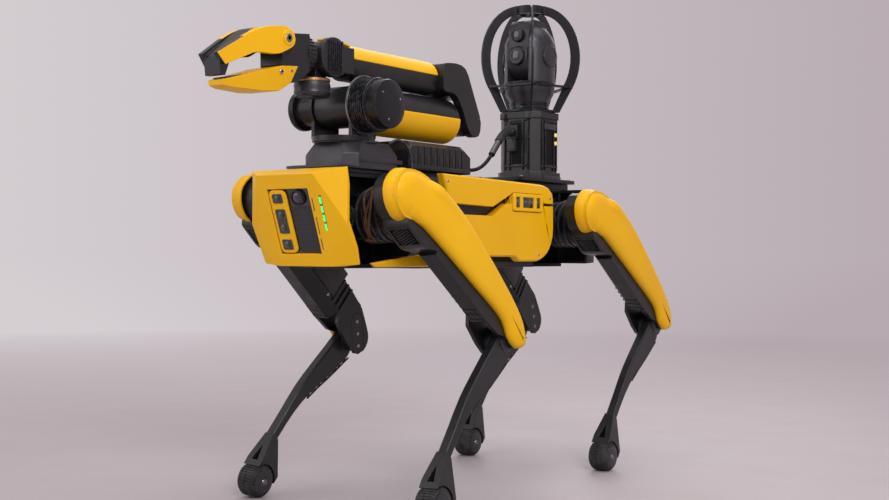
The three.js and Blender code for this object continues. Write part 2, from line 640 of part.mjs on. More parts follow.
// The camera's yoke: a bowl that pans on the tower, with two domed cheeks beside a deep slot.
const HEAD_R = 52;
const SLOT_HALF = 25;
function panBase() {
  const top = TILT_Z + 60;
  const shell = turned([[0, TOWER_TOP + GAP], [38, TOWER_TOP + GAP], [40, 254], [50, 270],
    [HEAD_R, 288], [HEAD_R, 376], [46, 392], [34, top], [0, top + 4]], 24).rotate([90, 0, 0]);
  const slot = box(-80, 80, -SLOT_HALF, SLOT_HALF, TILT_Z - 53, top + 40);
  return cut(shell, slot).translate([MAST_X, 0, 0]);
}

function tiltHead() {
  const half = SLOT_HALF - GAP;
  const drum = rod('y', 50, -half, half, [0, 0, TILT_Z], 24);
  const top = sideSlab([[44, TILT_Z], [44, TILT_Z + 58, 14], [30, TILT_Z + 76, 10],
    [-20, TILT_Z + 76, 14], [-34, TILT_Z + 50, 14], [-44, TILT_Z]], -half, half);
  const lower = rod('x', 17, 40, 53, [0, 0, TILT_Z], 16);
  const upper = rod('x', 12, 38, 50, [0, 0, TILT_Z + 43], 16);
  return join(drum, top, lower, upper).translate([MAST_X, 0, 0]);
}

// Five flat ribs in radial planes, a crown ring, a waist ring and brackets down to the tower.
const CAGE_RIBS = 5;
const ribAngle = (i) => 36 + 360 / CAGE_RIBS * i;
const WAIST_Z = 284;
function cameraCage() {
  const [cr, cz] = [20, 345];
  const lowOut = -Math.asin((cz - WAIST_Z) / 110);
  const lowIn = -Math.asin((cz - WAIST_Z) / 92);
  const shape = new THREE.Shape();
  shape.absellipse(cr, cz, 87, 110, lowOut, Math.PI / 2, false, 0);
  shape.absellipse(cr, cz, 67, 92, Math.PI / 2, lowIn, true, 0);
  const rib = sideShape(new THREE.Shape(shape.getPoints(9)), -2, 2, 0);
  const bracket = hull([-2, 2].flatMap((y) => [[93, y, WAIST_Z + 2], [72, y, WAIST_Z + 2],
    [62, y, 238], [50, y, 238], [50, y, TOWER_TOP + GAP], [64, y, TOWER_TOP + GAP]]));
  const corner = (r, i) => [r * Math.cos(ribAngle(i) * DEG), r * Math.sin(ribAngle(i) * DEG)];
  const ring = (r) => [0, 1, 2, 3, 4].map((i) => corner(r, i));
  const waist = planSlab(ring(91), WAIST_Z - 2, WAIST_Z + 2)
    .subtract(planSlab(ring(78), WAIST_Z - 9, WAIST_Z + 9));
  const hoop = (r, hole, z0, z1) => rod('z', r, z0, z1)
    .subtract(rod('z', hole, z0 - 5, z1 + 5));
  let cage = join(waist, hoop(31, 22, 438, 454), hoop(54, 43, TOWER_TOP + GAP, 237));
  for (let i = 0; i < CAGE_RIBS; i += 1) cage = join(cage, join(rib, bracket).rotate([0, 0, ribAngle(i)]));
  return cage.translate([MAST_X, 0, 0]);
}

// The camera's cable, from the tower's port down over the deck to the computer's rear.
const CABLE = [[-243, -10, 190], [-230, -10, 189], [-212, -9, 180], [-190, -7, 160], [-166, -4, 138],
  [-138, 0, 119], [-106, 4, 106], [-70, 7, 101], [-34, 8, 100], [1.4, 8, 100]];
function cameraCable() {
  const curve = new THREE.CatmullRomCurve3(CABLE.map((p) => new THREE.Vector3(...p)));
  const section = new THREE.Shape();
  section.absarc(0, 0, 4, 0, 2 * Math.PI);
  return solid(new THREE.ExtrudeGeometry(section, {
    steps: 36, extrudePath: curve, curveSegments: 4, bevelEnabled: false,
  }));
}

put(body, 'payload_plate', payloadPlate(), METAL_BLACK);
put(body, 'payload_tower', payloadTower(), BLACK);
put(body, 'camera_cage', cameraCage(), METAL_BLACK);
put(body, 'camera_pan_base', panBase(), BLACK);
put(body, 'camera_tilt_head', tiltHead(), BLACK);
put(body, 'camera_cable', cameraCable(), RUBBER);

// The row's origin is the middle of the bounding box at floor level.
robot.updateMatrixWorld(true);
const bounds = new THREE.Box3().setFromObject(robot, true);
robot.position.set(-(bounds.min.x + bounds.max.x) / 2, -(bounds.min.y + bounds.max.y) / 2, -bounds.min.z);

export default robot;
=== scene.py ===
"""Looks of the walking robot: studio, procedural materials and the fine pieces around the frame.

Lengths in the drawing helpers are millimetres from the point between the hip axes, x forwards,
y to the robot's left, z up. Each drawing frame below turns them into metres in the row's frame.
"""
import math

import bmesh
import bpy
from mathutils import Matrix, Vector


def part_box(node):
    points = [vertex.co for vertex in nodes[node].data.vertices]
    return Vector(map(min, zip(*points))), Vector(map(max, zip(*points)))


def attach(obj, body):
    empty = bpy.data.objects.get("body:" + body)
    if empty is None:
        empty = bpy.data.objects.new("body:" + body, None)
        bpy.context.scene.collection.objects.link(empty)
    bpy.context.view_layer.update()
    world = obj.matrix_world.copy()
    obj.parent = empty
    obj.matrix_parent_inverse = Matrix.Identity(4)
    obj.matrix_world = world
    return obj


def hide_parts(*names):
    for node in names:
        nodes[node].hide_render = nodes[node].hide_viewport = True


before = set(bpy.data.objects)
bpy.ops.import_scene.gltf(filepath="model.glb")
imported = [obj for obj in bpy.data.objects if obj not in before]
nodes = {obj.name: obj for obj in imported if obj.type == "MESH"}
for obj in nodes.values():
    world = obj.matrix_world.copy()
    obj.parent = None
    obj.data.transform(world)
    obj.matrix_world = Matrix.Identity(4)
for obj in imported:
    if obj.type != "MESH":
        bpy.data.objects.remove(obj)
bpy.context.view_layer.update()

# ---- Drawing frames ---------------------------------------------------------------------------
battery_low, battery_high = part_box("battery_pack")
BATTERY_TOP = -66.3                           # height of the battery's top from the hip axes
ROOT = Vector(((battery_low.x + battery_high.x) / 2, (battery_low.y + battery_high.y) / 2,
               battery_high.z - BATTERY_TOP / 1000))   # point between the hip axes
BODY = Matrix.Translation(ROOT) @ Matrix.Scale(0.001, 4)
LEAN = math.atan2(52, 149)                    # the face's front plane from (388, -83) to (440, 66)
FACE = BODY @ Matrix.Translation((414, 0, -8.5)) @ Matrix.Rotation(LEAN, 4, "Y")
HIP_X, HIP_Y, HIP_OUT = 298, 55, 111
KNEE = (25, 0, -320)
SHANK = 336.5
FOOT_R = 30
TREAD_EDGE = 15                               # tread's outer edge from the thigh's plane
STANCE = {"front_left": (3.5, 50.7), "front_right": (3.5, 48.8),
          "rear_left": (0, 53.8), "rear_right": (0, 52.8)}
ARM_X, ARM_Z = 292, 188
FORE_Z = 263
WRIST_X = 356.5
MAST_X = -300
TILT_Z = 347


def knee_angle(roll, pitch):
    """The knee's angle in radians that stands the foot on the floor."""
    edge = TREAD_EDGE * math.sin(roll)
    drop = (ROOT.z * 1000 + HIP_OUT * math.sin(roll) - edge) / math.cos(roll) - FOOT_R
    thigh_drop = KNEE[0] * math.sin(pitch) - KNEE[2] * math.cos(pitch)
    return -(pitch + math.acos((drop - thigh_drop) / SHANK))


def leg_frames(tag):
    """Drawing frames of one leg's hip, thigh and shank, with y outwards on both sides."""
    roll, pitch = (math.radians(a) for a in STANCE[tag])
    ahead = 1 if "front" in tag else -1
    out = 1 if "left" in tag else -1
    flip = Matrix.Diagonal((1, out, 1, 1))
    hip = BODY @ Matrix.Translation((ahead * HIP_X, out * HIP_Y, 0)) @ Matrix.Rotation(out * roll, 4, "X")
    thigh = hip @ Matrix.Translation((0, out * HIP_OUT, 0)) @ Matrix.Rotation(pitch, 4, "Y")
    shank = thigh @ Matrix.Translation(KNEE) @ Matrix.Rotation(knee_angle(roll, pitch), 4, "Y")
    return hip @ flip, thigh @ flip, shank @ flip


# ---- Camera -----------------------------------------------------------------------------------
def make_camera():
    yaw, pitch, roll = 0.630447, -0.002506, 0.005785
    forward = Vector((-math.cos(yaw) * math.cos(pitch), -math.sin(yaw) * math.cos(pitch), -math.sin(pitch)))
    level = forward.cross(Vector((0, 0, 1))).normalized()
    upright = level.cross(forward)
    right = level * math.cos(roll) + upright * math.sin(roll)
    up = upright * math.cos(roll) - level * math.sin(roll)
    data = bpy.data.cameras.new("camera")
    data.sensor_width = 36
    data.lens = 51.32
    data.clip_end = 100
    camera = bpy.data.objects.new("camera", data)
    turn = Matrix((right, up, -forward)).transposed().to_4x4()
    camera.matrix_world = Matrix.Translation((1.93918 + ROOT.x, 1.41707, 0.43808)) @ turn
    bpy.context.scene.collection.objects.link(camera)
    bpy.context.scene.camera = camera


make_camera()
bpy.context.scene.view_settings.view_transform = "Standard"


# ---- Materials --------------------------------------------------------------------------------
class Nodes:
    """A short way to wire one material's node tree."""

    def __init__(self, name):
        self.material = bpy.data.materials.new(name)
        self.material.use_nodes = True
        self.tree = self.material.node_tree
        self.shader = self.tree.nodes["Principled BSDF"]
        self.place = self.add("ShaderNodeTexCoord").outputs["Object"]

    def add(self, kind, **settings):
        node = self.tree.nodes.new(kind)
        for key, value in settings.items():
            setattr(node, key, value)
        return node

    def link(self, a, b):
        self.tree.links.new(a, b)

    def noise(self, scale, detail=2.0, stretch=None):
        place = self.place
        if stretch:
            mapping = self.add("ShaderNodeMapping")
            mapping.inputs["Scale"].default_value = stretch
            self.link(place, mapping.inputs["Vector"])
            place = mapping.outputs["Vector"]
        node = self.add("ShaderNodeTexNoise")
        node.inputs["Scale"].default_value = scale
        node.inputs["Detail"].default_value = detail
        self.link(place, node.inputs["Vector"])
        return node.outputs["Fac"]

    def spread(self, value, low, high, start=0.3, end=0.7):
        node = self.add("ShaderNodeMapRange")
        node.inputs["From Min"].default_value = start
        node.inputs["From Max"].default_value = end
        node.inputs["To Min"].default_value = low
        node.inputs["To Max"].default_value = high
        self.link(value, node.inputs["Value"])
        return node.outputs["Result"]

    def mix(self, factor, a, b):
        node = self.add("ShaderNodeMix", data_type="RGBA")
        self.link(factor, node.inputs[0])
        for socket, value in ((node.inputs[6], a), (node.inputs[7], b)):
            if hasattr(value, "is_output"):
                self.link(value, socket)
            else:
                socket.default_value = (*value, 1)
        return node.outputs[2]

    def bump(self, height, strength, distance, normal=None):
        node = self.add("ShaderNodeBump")
        node.inputs["Strength"].default_value = strength
        node.inputs["Distance"].default_value = distance
        self.link(height, node.inputs["Height"])
        if normal:
            self.link(normal, node.inputs["Normal"])
        return node.outputs["Normal"]

    def edges(self, radius):
        """1 on convex and concave edges, 0 on flats."""
        rounded = self.add("ShaderNodeBevel", samples=4)
        rounded.inputs["Radius"].default_value = radius
        flat = self.add("ShaderNodeNewGeometry")
        dot = self.add("ShaderNodeVectorMath", operation="DOT_PRODUCT")
        self.link(rounded.outputs["Normal"], dot.inputs[0])
        self.link(flat.outputs["Normal"], dot.inputs[1])
        return self.spread(dot.outputs["Value"], 1, 0, 0.8, 0.99)

    def use(self, socket, value):
        if hasattr(value, "is_output"):
            self.link(value, self.shader.inputs[socket])
        else:
            self.shader.inputs[socket].default_value = value


def coated(name, colour, shade, rough, grain, metal=0.0, coat=0.0, worn=None, specular=0.5):
    """Moulded or painted surface: clouded colour, fine grain, uneven polish and rubbed edges."""
    n = Nodes(name)
    base = n.mix(n.spread(n.noise(7.0, 3.0), 0, 1), colour, shade)
    if worn:
        scuff = n.spread(n.noise(160.0, 4.0), 0, 1, 0.5, 0.62)
        gate = n.add("ShaderNodeMath", operation="MULTIPLY")
        n.link(n.edges(0.0015), gate.inputs[0])
        n.link(scuff, gate.inputs[1])
        base = n.mix(gate.outputs[0], base, worn)
    n.use("Base Color", base)
    n.use("Roughness", n.spread(n.noise(38.0, 5.0), rough - 0.06, rough + 0.08))
    fine = n.bump(n.noise(1500.0, 1.0), grain, 0.0002)
    n.use("Normal", n.bump(n.noise(60.0, 2.0), 0.05, 0.0006, fine))
    n.use("Metallic", metal)
    n.use("Specular IOR Level", specular)
    n.use("Coat Weight", coat)
    n.use("Coat Roughness", 0.18)
    return n.material


def brushed(name, colour, shade, rough, stretch):
    """Machined metal with fine lines along one direction."""
    n = Nodes(name)
    lines = n.noise(420.0, 2.0, stretch)
    n.use("Base Color", n.mix(n.spread(lines, 0, 1), colour, shade))
    n.use("Roughness", n.spread(n.noise(70.0, 4.0), rough - 0.07, rough + 0.1))
    n.use("Normal", n.bump(lines, 0.25, 0.0001))
    n.use("Metallic", 1.0)
    return n.material


def dark_window(name):
    """Smoked window over dark optics: glossy, faintly uneven, with dust specks."""
    n = Nodes(name)
    cloud = n.spread(n.noise(30.0, 3.0), 0, 1)
    n.use("Base Color", n.mix(cloud, (0.006, 0.007, 0.010), (0.016, 0.018, 0.024)))
    n.use("Roughness", n.spread(n.noise(240.0, 3.0), 0.04, 0.14, 0.45, 0.75))
    n.use("Normal", n.bump(n.noise(35.0, 1.0), 0.03, 0.0004))
    n.use("Coat Weight", 0.8)
    n.use("Coat Roughness", 0.03)
    return n.material


def lens_glass(name, painted_rim_sheen):
    """A coated camera lens: dark glass with a coloured sheen painted into its base colour around its rim."""
    n = Nodes(name)
    rim = n.add("ShaderNodeLayerWeight")
    rim.inputs["Blend"].default_value = 0.4
    # Painted sheen: the base colour turns from dark glass to the sheen colour where the surface turns away
    # from the view.
    n.use("Base Color", n.mix(rim.outputs["Facing"], (0.004, 0.005, 0.009), painted_rim_sheen))
    n.use("Roughness", n.spread(n.noise(300.0, 2.0), 0.02, 0.06))
    n.use("Coat Weight", 1.0)
    n.use("Coat Roughness", 0.02)
    return n.material


def glowing(name, colour, strength):
    """A lit light pipe, its brightness clouded by its diffuser."""
    n = Nodes(name)
    cloud = n.spread(n.noise(260.0, 2.0), 0.7, 1.3)
    scale = n.add("ShaderNodeMath", operation="MULTIPLY")
    scale.inputs[1].default_value = strength
    n.link(cloud, scale.inputs[0])
    n.use("Base Color", (*colour, 1))
    n.use("Emission Color", (*colour, 1))
    n.use("Emission Strength", scale.outputs[0])
    n.use("Roughness", 0.3)
    return n.material


def perforated(name):
    """Black panel with a fine square grid of holes, laid in the leaning face plane; the holes are coloured
    near black as painted shade.
    """
    n = Nodes(name)
    mapping = n.add("ShaderNodeMapping")
    mapping.inputs["Rotation"].default_value = (0, -LEAN, 0)
    mapping.inputs["Scale"].default_value = (0, 420, 420)
    n.link(n.place, mapping.inputs["Vector"])
    cell = n.add("ShaderNodeVectorMath", operation="FRACTION")
    n.link(mapping.outputs["Vector"], cell.inputs[0])
    middle = n.add("ShaderNodeVectorMath", operation="DISTANCE")
    middle.inputs[1].default_value = (0, 0.5, 0.5)
    n.link(cell.outputs["Vector"], middle.inputs[0])
    hole_and_shade = n.spread(middle.outputs["Value"], 0, 1, 0.24, 0.36)
    # Painted shade: the holes are coloured near black for the shade inside them, and the panel between them
    # keeps its own black.
    n.use("Base Color", n.mix(hole_and_shade, (0.0015, 0.0015, 0.002), (0.020, 0.021, 0.026)))
    n.use("Roughness", n.spread(n.noise(90.0, 3.0), 0.3, 0.42))
    n.use("Normal", n.bump(hole_and_shade, 0.5, 0.0005))
    return n.material


def braided(name, colour, dark, pitch):
    """Woven sleeve of crossing strands."""
    n = Nodes(name)
    waves = []
    for direction in ("X", "Z"):
        wave = n.add("ShaderNodeTexWave", bands_direction=direction)
        wave.inputs["Scale"].default_value = pitch
        wave.inputs["Distortion"].default_value = 1.5
        n.link(n.place, wave.inputs["Vector"])
        waves.append(wave.outputs["Fac"])
    cross = n.add("ShaderNodeMath", operation="MULTIPLY")
    n.link(waves[0], cross.inputs[0])
    n.link(waves[1], cross.inputs[1])
    n.use("Base Color", n.mix(cross.outputs[0], dark, colour))
    n.use("Roughness", n.spread(n.noise(200.0, 3.0), 0.35, 0.6))
    n.use("Normal", n.bump(cross.outputs[0], 0.6, 0.0006))
    n.use("Metallic", 0.6)
    return n.material


def rubbery(name):
    """Moulded tread rubber with a dusty bloom."""
    n = Nodes(name)
    bloom = n.spread(n.noise(55.0, 5.0), 0, 1, 0.4, 0.75)
    n.use("Base Color", n.mix(bloom, (0.010, 0.010, 0.011), (0.045, 0.042, 0.041)))
    n.use("Roughness", n.spread(n.noise(300.0, 3.0), 0.62, 0.85))
    n.use("Normal", n.bump(n.noise(900.0, 3.0), 0.4, 0.0004))
    return n.material


YELLOW = coated("yellow_shell", (0.90, 0.50, 0.002), (0.86, 0.45, 0.001), 0.46, 0.10,
                worn=(0.62, 0.36, 0.03), specular=0.3)
BLACK = coated("black_shell", (0.008, 0.008, 0.009), (0.014, 0.014, 0.016), 0.38, 0.28,
               worn=(0.06, 0.06, 0.065))
METAL = coated("black_metal", (0.010, 0.010, 0.012), (0.018, 0.018, 0.021), 0.30, 0.12, metal=0.4,
               worn=(0.20, 0.20, 0.21))
SATIN = coated("satin_grey", (0.060, 0.058, 0.066), (0.036, 0.035, 0.041), 0.36, 0.10, metal=0.5,
               worn=(0.25, 0.25, 0.26))
RUBBER = rubbery("tread_rubber")
STEEL = brushed("steel_screws", (0.52, 0.52, 0.54), (0.36, 0.36, 0.38), 0.32, (1, 9, 1))
GREY = brushed("grey_rings", (0.34, 0.35, 0.37), (0.22, 0.23, 0.25), 0.34, (9, 1, 1))
BRASS = brushed("brass_parts", (0.60, 0.34, 0.13), (0.42, 0.22, 0.09), 0.36, (1, 1, 8))
WINDOW = dark_window("smoked_window")
# The second colour of each lens is the colour of its painted rim sheen.
LENS = lens_glass("camera_lens", (0.06, 0.03, 0.09))
SENSOR = lens_glass("sensor_lens", (0.05, 0.12, 0.09))
GLOW = glowing("green_light", (0.07, 0.80, 0.16), 1.15)
AMBER = glowing("amber_light", (0.85, 0.62, 0.15), 0.5)
TAPE = coated("cable_tape", (0.05, 0.05, 0.055), (0.014, 0.014, 0.016), 0.22, 0.6, coat=0.5)
GRID = perforated("perforated_panel")
BRAID = braided("braided_sleeve", (0.050, 0.050, 0.055), (0.008, 0.008, 0.009), 900)
COPPER = braided("copper_braid", (0.50, 0.25, 0.12), (0.030, 0.018, 0.014), 700)
DIFFUSER = coated("light_pipe", (0.10, 0.30, 0.05), (0.07, 0.22, 0.04), 0.3, 0.05, coat=0.4)
RED = coated("red_button", (0.42, 0.012, 0.008), (0.34, 0.010, 0.007), 0.3, 0.05, coat=0.3)
# Painted shade: a matte near-black stand-in for the shade inside recesses.
RECESS_SHADE = coated("painted_recess_shade", (0.004, 0.004, 0.005), (0.007, 0.007, 0.008), 0.7, 0.3, specular=0.2)


# ---- Mesh drawing -----------------------------------------------------------------------------
class Drawing:
    """Collects shapes in one drawing frame, and makes them one piece on one CAD body."""

    def __init__(self, place):
        self.place = place
        self.bm = bmesh.new()

    def move(self, made, turn):
        """Moves the points just drawn, where the shape was given a turn."""
        if turn:
            bmesh.ops.transform(self.bm, matrix=turn, verts=made)

    def block(self, low, high, round_by=0.8, turn=None):
        """A bar between two corners with rounded edges."""
        made = bmesh.ops.create_cube(self.bm, size=1.0)["verts"]
        low, high = Vector(low), Vector(high)
        size = high - low
        shape = Matrix.Translation((low + high) / 2) @ Matrix.Diagonal((*size, 1))
        bmesh.ops.transform(self.bm, matrix=shape, verts=made)
        edges = list({e for v in made for e in v.link_edges})
        width = min(round_by, min(size) * 0.45)
        result = bmesh.ops.bevel(self.bm, geom=edges, offset=width, segments=2, affect="EDGES", profile=0.5)
        self.move(result["verts"], turn)

    def turned(self, profile, at, axis, sides=40, turn=None):
        """A turned shape: profile is a list of (radius, distance along axis) from at."""
        direction = Vector(axis).normalized()
        side = direction.orthogonal().normalized()
        other = direction.cross(side)
        rings = []
        for radius, along in profile:
            centre = Vector(at) + direction * along
            if radius < 1e-6:
                rings.append([self.bm.verts.new(centre)])
                continue
            rings.append([self.bm.verts.new(centre + (side * math.cos(a) + other * math.sin(a)) * radius)
                          for a in (2 * math.pi * i / sides for i in range(sides))])
        for a, b in zip(rings, rings[1:]):
            for i in range(sides):
                j = (i + 1) % sides
                if len(a) == 1:
                    loop = [a[0], b[j], b[i]]
                elif len(b) == 1:
                    loop = [a[i], a[j], b[0]]
                else:
                    loop = [a[i], a[j], b[j], b[i]]
                self.bm.faces.new(loop)
        for ring in (rings[0], rings[-1]):
            if len(ring) > 1 and profile[0] != profile[-1]:
                self.bm.faces.new(ring)
        self.move([v for ring in rings for v in ring], turn)

    def screw(self, at, axis, radius=3.0, height=1.6, turn=None):
        """A socket screw's head: chamfered rim and a six-sided socket."""
        r = radius
        self.turned([(r, -1), (r, height - 0.5), (r - 0.5, height), (r * 0.55, height)], at, axis, 20, turn)
        self.turned([(r * 0.55, height), (r * 0.5, height - 0.9), (0, height - 0.9)], at, axis, 6, turn)

    def plate(self, outline, depth, to_place, rounding=0.6):
        """An outline extruded by depth along its own normal; to_place maps (u, v, w) to the frame."""
        edge = [(0, rounding), (rounding, 0), (depth - rounding, 0), (depth, rounding)]
        loops = []
        for along, inset in edge:
            ring = inset_outline(outline, inset)
            loops.append([self.bm.verts.new(to_place(u, v, along)) for u, v in ring])
        for a, b in zip(loops, loops[1:]):
            for i in range(len(a)):
                j = (i + 1) % len(a)
                self.bm.faces.new([a[i], a[j], b[j], b[i]])
        self.bm.faces.new(loops[0])
        self.bm.faces.new(loops[-1])

    def tube(self, points, radius, sides=10, smooth=4):
        """A round tube along a smooth path through the points."""
        path = smooth_path([Vector(p) for p in points], smooth)
        rings = []
        side = None
        for i, p in enumerate(path):
            ahead = (path[min(i + 1, len(path) - 1)] - path[max(i - 1, 0)]).normalized()
            side = (side - ahead * side.dot(ahead)).normalized() if side else ahead.orthogonal().normalized()
            other = ahead.cross(side)
            rings.append([self.bm.verts.new(p + (side * math.cos(a) + other * math.sin(a)) * radius)
                          for a in (2 * math.pi * k / sides for k in range(sides))])
        for a, b in zip(rings, rings[1:]):
            for i in range(sides):
                j = (i + 1) % sides
                self.bm.faces.new([a[i], a[j], b[j], b[i]])
        self.bm.faces.new(rings[0])
        self.bm.faces.new(rings[-1])

    def loft(self, loops):
        """Closed loops of points joined in order, with both ends filled."""
        rings = [[self.bm.verts.new(p) for p in loop] for loop in loops]
        for a, b in zip(rings, rings[1:]):
            for i in range(len(a)):
                j = (i + 1) % len(a)
                self.bm.faces.new([a[i], a[j], b[j], b[i]])
        self.bm.faces.new(rings[0])
        self.bm.faces.new(rings[-1])

    def piece(self, name, body, material, replaces=(), crease=32):
        """Ends the drawing as a named piece that rides on a CAD body."""
        bmesh.ops.recalc_face_normals(self.bm, faces=self.bm.faces)
        mesh = bpy.data.meshes.new(name)
        self.bm.to_mesh(mesh)
        self.bm.free()
        mesh.transform(self.place)
        if self.place.determinant() < 0:
            mesh.flip_normals()
        mesh.materials.append(material)
        mesh.shade_smooth()
        mesh.set_sharp_from_angle(angle=math.radians(crease))
        made = bpy.data.objects.new(name, mesh)
        bpy.context.scene.collection.objects.link(made)
        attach(made, body)
        if replaces:
            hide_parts(*replaces)
        return made


def inset_outline(points, inset):
    """The outline moved inwards, for a loop that runs anticlockwise."""
    made = []
    n = len(points)
    for i, (u, v) in enumerate(points):
        pu, pv = points[i - 1]
        nu, nv = points[(i + 1) % n]
        a = Vector((u - pu, v - pv)).normalized()
        b = Vector((nu - u, nv - v)).normalized()
        normal = Vector((-(a.y + b.y), a.x + b.x)).normalized()
        reach = inset / max(0.5, math.sqrt(max(0.0, (1 + a.dot(b)) / 2)))
        made.append((u + normal.x * reach, v + normal.y * reach))
    return made


def smooth_path(points, steps):
    """Catmull-Rom points through the given ones."""
    ends = [points[0] * 2 - points[1], *points, points[-1] * 2 - points[-2]]
    path = []
    for a, b, c, d in zip(ends, ends[1:], ends[2:], ends[3:]):
        for k in range(steps):
            t = k / steps
            path.append(0.5 * (2 * b + (c - a) * t + (2 * a - 5 * b + 4 * c - d) * t * t
                               + (3 * b - a - 3 * c + d) * t ** 3))
    path.append(points[-1])
    return path


def smooth_loop(points, steps):
    """A closed smooth loop through (u, v) points, steps points per stretch."""
    n = len(points)
    made = []
    for i in range(n):
        a, b, c, d = (Vector(points[(i + k - 1) % n]) for k in range(4))
        for k in range(steps):
            t = k / steps
            p = 0.5 * (2 * b + (c - a) * t + (2 * a - 5 * b + 4 * c - d) * t * t
                       + (3 * b - a - 3 * c + d) * t ** 3)
            made.append((p.x, p.y))
    return made


def round_box(u0, u1, v0, v1, r, steps=5):
    """A rectangle with rounded corners, anticlockwise."""
    made = []
    corners = ((u1 - r, v0 + r, -90), (u1 - r, v1 - r, 0), (u0 + r, v1 - r, 90), (u0 + r, v0 + r, 180))
    for cu, cv, start in corners:
        for k in range(steps + 1):
            a = math.radians(start + 90 * k / steps)
            made.append((cu + r * math.cos(a), cv + r * math.sin(a)))
    return made


def smoothstep(value, start, end):
    t = min(1.0, max(0.0, (value - start) / (end - start)))
    return t * t * (3 - 2 * t)


# ---- CAD nodes that stay: rounded edges, even shading and a material ---------------------------
def finish_node(name, material, width=0.0008, crease=30):
    node = nodes[name]
    mesh = node.data
    if "custom_normal" in mesh.attributes:
        mesh.attributes.remove(mesh.attributes["custom_normal"])
    mesh.materials.clear()
    mesh.materials.append(material)
    mesh.shade_smooth()
    weld = node.modifiers.new("weld", "WELD")
    weld.merge_threshold = 0.00001
    if name != "camera_cage":                 # merged faces would close the ribs' concave side
        flat = node.modifiers.new("flats", "DECIMATE")
        flat.decimate_type = "DISSOLVE"
        flat.angle_limit = math.radians(0.5)
    bevel = node.modifiers.new("edges", "BEVEL")
    bevel.width = width
    bevel.segments = 2
    bevel.limit_method = "ANGLE"
    bevel.angle_limit = math.radians(crease)
    bevel.use_clamp_overlap = False
    even = node.modifiers.new("shading", "WEIGHTED_NORMAL")
    even.keep_sharp = True


TAGS = list(STANCE)
kept = {
    "chassis_frame": METAL, "battery_pack": BLACK, "face_shell": YELLOW, "face_panel": WINDOW,
    "status_light": DIFFUSER, "rear_cover": BLACK, "power_button": GREY, "lockout_button": RED,
    "side_panel_left": YELLOW, "side_panel_right": YELLOW, "side_sensor_left": YELLOW,
    "side_sensor_right": YELLOW, "top_rail_left": METAL, "top_rail_right": METAL, "arm_base": SATIN,
    "arm_turret": METAL, "shoulder_motor_left": METAL, "shoulder_motor_right": METAL,
    "upper_arm": BLACK, "upper_arm_cover": YELLOW, "elbow_link": BLACK, "forearm_tube": BLACK,
    "forearm_cover": YELLOW, "wrist_pitch_link": METAL, "gripper_palm": BLACK,
    "lower_jaw_cover": YELLOW, "upper_jaw": YELLOW, "computer_case": BLACK,
    "payload_plate": METAL, "payload_tower": BLACK,
    "camera_cage": METAL, "camera_pan_base": SATIN, "camera_tilt_head": SATIN, "camera_cable": BRAID,
    "face_sensor_bezel": YELLOW,
}
for tag in TAGS:
    kept[f"hip_housing_{tag}"] = METAL
    kept[f"thigh_frame_{tag}"] = BLACK
    kept[f"thigh_cover_{tag}"] = YELLOW
    kept[f"knee_cover_{tag}"] = BLACK
    kept[f"shank_{tag}"] = BLACK
    kept[f"foot_{tag}"] = RUBBER
for name, material in kept.items():
    finish_node(name, material)


def paint_jaw():
    """The upper jaw's bridge and tip are black between its yellow side plates."""
    mesh = nodes["upper_jaw"].data
    mesh.materials.append(BLACK)
    tip = (ROOT + Vector((0.584, 0, 0.2))).x
    for face in mesh.polygons:
        middle = face.center
        bridge = abs(middle.y) < 0.0172 and abs(face.normal.y) < 0.5
        if bridge or middle.x > tip + 0.5 * (ROOT.z + 0.24 - middle.z):
            face.material_index = 1


paint_jaw()


# ---- Legs -------------------------------------------------------------------------------------
def thigh_cover(tag, place):
    """The yellow cover: a long crowned plate whose domed head wraps around the thigh's lobe."""
    outline = smooth_loop([
        (14, 91), (-22, 83), (-48, 41), (-55, -10), (-57, -80), (-48, -170), (-32, -270), (-16, -322),
        (10, -349), (31, -334), (31, -304), (16, -262), (20, -160), (27, -40), (33, 8), (44, 28),
        (48, 49), (38, 75)], 6)
    plate_rise = [(0.0, 0.0), (5.0, 0.6), (9.0, 2.6), (11.5, 6.5), (12.6, 12.0), (13.0, 18.0)]
    head_rise = [(0.0, 0.0), (9.0, 0.8), (17.0, 3.6), (24.0, 9.0), (28.5, 17.0), (30.5, 28.0)]
    wall = 3.4
    back = 18.3

    def loop(inset, height_of):
        ring = inset_outline(outline, inset) if isinstance(inset, float) else [
            inset_outline(outline, inset(z))[i] for i, (_, z) in enumerate(outline)]
        return [(x, height_of(z), zz) for (x, zz), (_, z) in zip(ring, outline)]

    def head(z):
        return smoothstep(z, -2, 36)

    def start(z):
        return back + (-6 - back) * head(z)

    loops = [loop(wall, lambda z: back), loop(wall, start), loop(0.8, lambda z: start(z) - 0.2)]
    for (rise_a, in_a), (rise_b, in_b) in zip(plate_rise, head_rise):
        loops.append(loop(
            lambda z, a=in_a, b=in_b: a + (b - a) * head(z) + 0.01,
            lambda z, a=rise_a, b=rise_b: start(z) + 0.8 + a + (b + 1.0 - a) * head(z)))
    d = Drawing(place)
    d.loft(loops)
    d.piece(f"thigh_cover_shell_{tag}", f"thigh_{tag}", YELLOW,
            [f"thigh_cover_{tag}"], crease=48)


